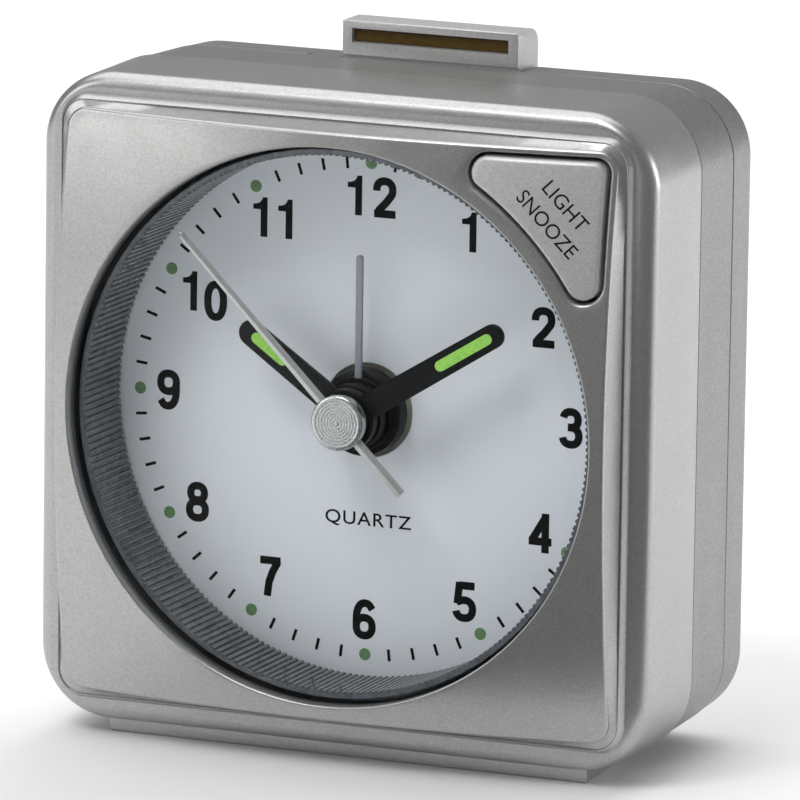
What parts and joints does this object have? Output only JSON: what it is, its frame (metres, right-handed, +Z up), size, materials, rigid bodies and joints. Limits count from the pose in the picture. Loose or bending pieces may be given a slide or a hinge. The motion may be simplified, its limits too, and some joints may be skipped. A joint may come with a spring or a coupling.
{
  "type": "travel alarm clock",
  "caption": "Square silver travel alarm clock with a deep round dial, four hands, snooze and light button, top alarm bar and quartz movement.",
  "frame": {"origin": "middle of the clock's width and depth, on the table plane under the foot", "axes": "+Z up, -Y out of the dial towards the viewer, +X to the viewer's right"},
  "size_m": [0.058, 0.0312, 0.0621],
  "materials": {
    "shell_silver": "satin silver paint with fine metal flake",
    "clear_plastic": "clear polished",
    "dial_paint": "printed matt white",
    "black_plastic": "satin moulded",
    "grey_plastic": "satin grey",
    "bright_steel": "bright turned or stamped",
    "brass": "turned",
    "nylon": "moulded off-white",
    "board": "solder mask",
    "copper": "enamelled wire",
    "amber": "dark amber",
    "cell_wrap": "printed sleeve"
  },
  "bodies": {
    "case": {"front_case": "shell_silver", "middle_case": "shell_silver", "rear_cover": "shell_silver", "base_foot": "shell_silver", "case_screw_1": "bright_steel", "case_screw_2": "bright_steel", "case_screw_3": "bright_steel", "case_screw_4": "bright_steel", "snooze_switch": "black_plastic", "alarm_switch": "black_plastic", "lens": "clear_plastic", "light_ring": "clear_plastic", "dial_plate": "dial_paint", "dial_nut": "black_plastic", "dial_carrier": "nylon", "lamp": "clear_plastic", "movement_plate": "nylon", "movement_cover": "nylon", "stator": "bright_steel", "coil": "copper", "circuit_board": "board", "quartz_crystal": "bright_steel", "clock_chip": "black_plastic", "buzzer": "brass", "battery_cell": "cell_wrap", "contact_plate": "bright_steel", "contact_spring": "bright_steel", "contact_base": "bright_steel"},
    "door": {"battery_door": "shell_silver"},
    "snooze": {"snooze_button": "shell_silver"},
    "bar": {"alarm_bar": "shell_silver", "alarm_stripe": "amber"},
    "time_setter": {"time_knob": "black_plastic", "time_set_arbor": "bright_steel"},
    "motion": {"motion_wheel": "nylon"},
    "minute": {"minute_hand": "black_plastic", "cannon_pinion": "brass"},
    "hour": {"hour_hand": "black_plastic", "hour_wheel": "nylon"},
    "alarm_setter": {"alarm_knob": "black_plastic", "alarm_set_arbor": "bright_steel"},
    "idler": {"alarm_idler": "nylon"},
    "alarm": {"alarm_hand": "grey_plastic", "alarm_wheel": "nylon"},
    "seconds": {"second_hand": "bright_steel", "second_cap": "bright_steel", "seconds_wheel": "nylon"},
    "centre": {"centre_wheel": "brass"},
    "third": {"third_wheel": "nylon"},
    "fifth": {"fifth_wheel": "nylon"},
    "rotor": {"rotor": "bright_steel"}
  },
  "joints": [
    {"name": "snooze_press", "type": "slide", "parent": "case", "child": "snooze", "axis": [0, 1, 0], "range_m": [0, 0.0009], "stiffness_N_per_m": 400},
    {"name": "alarm_bar_press", "type": "slide", "parent": "case", "child": "bar", "axis": [0, 0, -1], "range_m": [0, 0.0022]},
    {"name": "door_lift_off", "type": "slide", "parent": "case", "child": "door", "axis": [0, 1, 0], "range_m": [0, 0.012]},
    {"name": "time_knob_turn", "type": "hinge", "parent": "case", "child": "time_setter", "pos_m": [0.0135, 0, 0.0302], "axis": [0, 1, 0], "continuous": true},
    {"name": "motion_wheel_turn", "type": "hinge", "parent": "case", "child": "motion", "pos_m": [0.00675, 0, 0.0277], "axis": [0, 1, 0], "continuous": true},
    {"name": "minute_hand_turn", "type": "hinge", "parent": "case", "child": "minute", "pos_m": [0, 0, 0.0302], "axis": [0, 1, 0], "continuous": true},
    {"name": "hour_hand_turn", "type": "hinge", "parent": "case", "child": "hour", "pos_m": [0, 0, 0.0302], "axis": [0, 1, 0], "continuous": true},
    {"name": "alarm_knob_turn", "type": "hinge", "parent": "case", "child": "alarm_setter", "pos_m": [-0.0135, 0, 0.0302], "axis": [0, 1, 0], "continuous": true},
    {"name": "alarm_idler_turn", "type": "hinge", "parent": "case", "child": "idler", "pos_m": [-0.00867, 0, 0.02779], "axis": [0, 1, 0], "continuous": true},
    {"name": "alarm_hand_turn", "type": "hinge", "parent": "case", "child": "alarm", "pos_m": [0, 0, 0.0302], "axis": [0, 1, 0], "continuous": true},
    {"name": "second_hand_turn", "type": "hinge", "parent": "case", "child": "seconds", "pos_m": [0, 0, 0.0302], "axis": [0, 1, 0], "continuous": true},
    {"name": "centre_wheel_turn", "type": "hinge", "parent": "case", "child": "centre", "pos_m": [0, 0, 0.0302], "axis": [0, 1, 0], "continuous": true},
    {"name": "third_wheel_turn", "type": "hinge", "parent": "case", "child": "third", "pos_m": [-0.00509, 0, 0.03529], "axis": [0, 1, 0], "continuous": true},
    {"name": "fifth_wheel_turn", "type": "hinge", "parent": "case", "child": "fifth", "pos_m": [0.0027, 0, 0.03488], "axis": [0, 1, 0], "continuous": true},
    {"name": "rotor_turn", "type": "hinge", "parent": "case", "child": "rotor", "pos_m": [0.00585, 0, 0.04033], "axis": [0, 1, 0], "continuous": true}
  ],
  "couplings": [
    {"joint": "motion_wheel_turn", "follows": "time_knob_turn", "ratio": -0.33333},
    {"joint": "minute_hand_turn", "follows": "time_knob_turn", "ratio": 1},
    {"joint": "hour_hand_turn", "follows": "time_knob_turn", "ratio": 0.083333},
    {"joint": "alarm_idler_turn", "follows": "alarm_knob_turn", "ratio": -0.5},
    {"joint": "alarm_hand_turn", "follows": "alarm_knob_turn", "ratio": 0.33333},
    {"joint": "centre_wheel_turn", "follows": "second_hand_turn", "ratio": 0.016667},
    {"joint": "third_wheel_turn", "follows": "second_hand_turn", "ratio": -0.125},
    {"joint": "fifth_wheel_turn", "follows": "second_hand_turn", "ratio": -5},
    {"joint": "rotor_turn", "follows": "second_hand_turn", "ratio": 30}
  ]
}
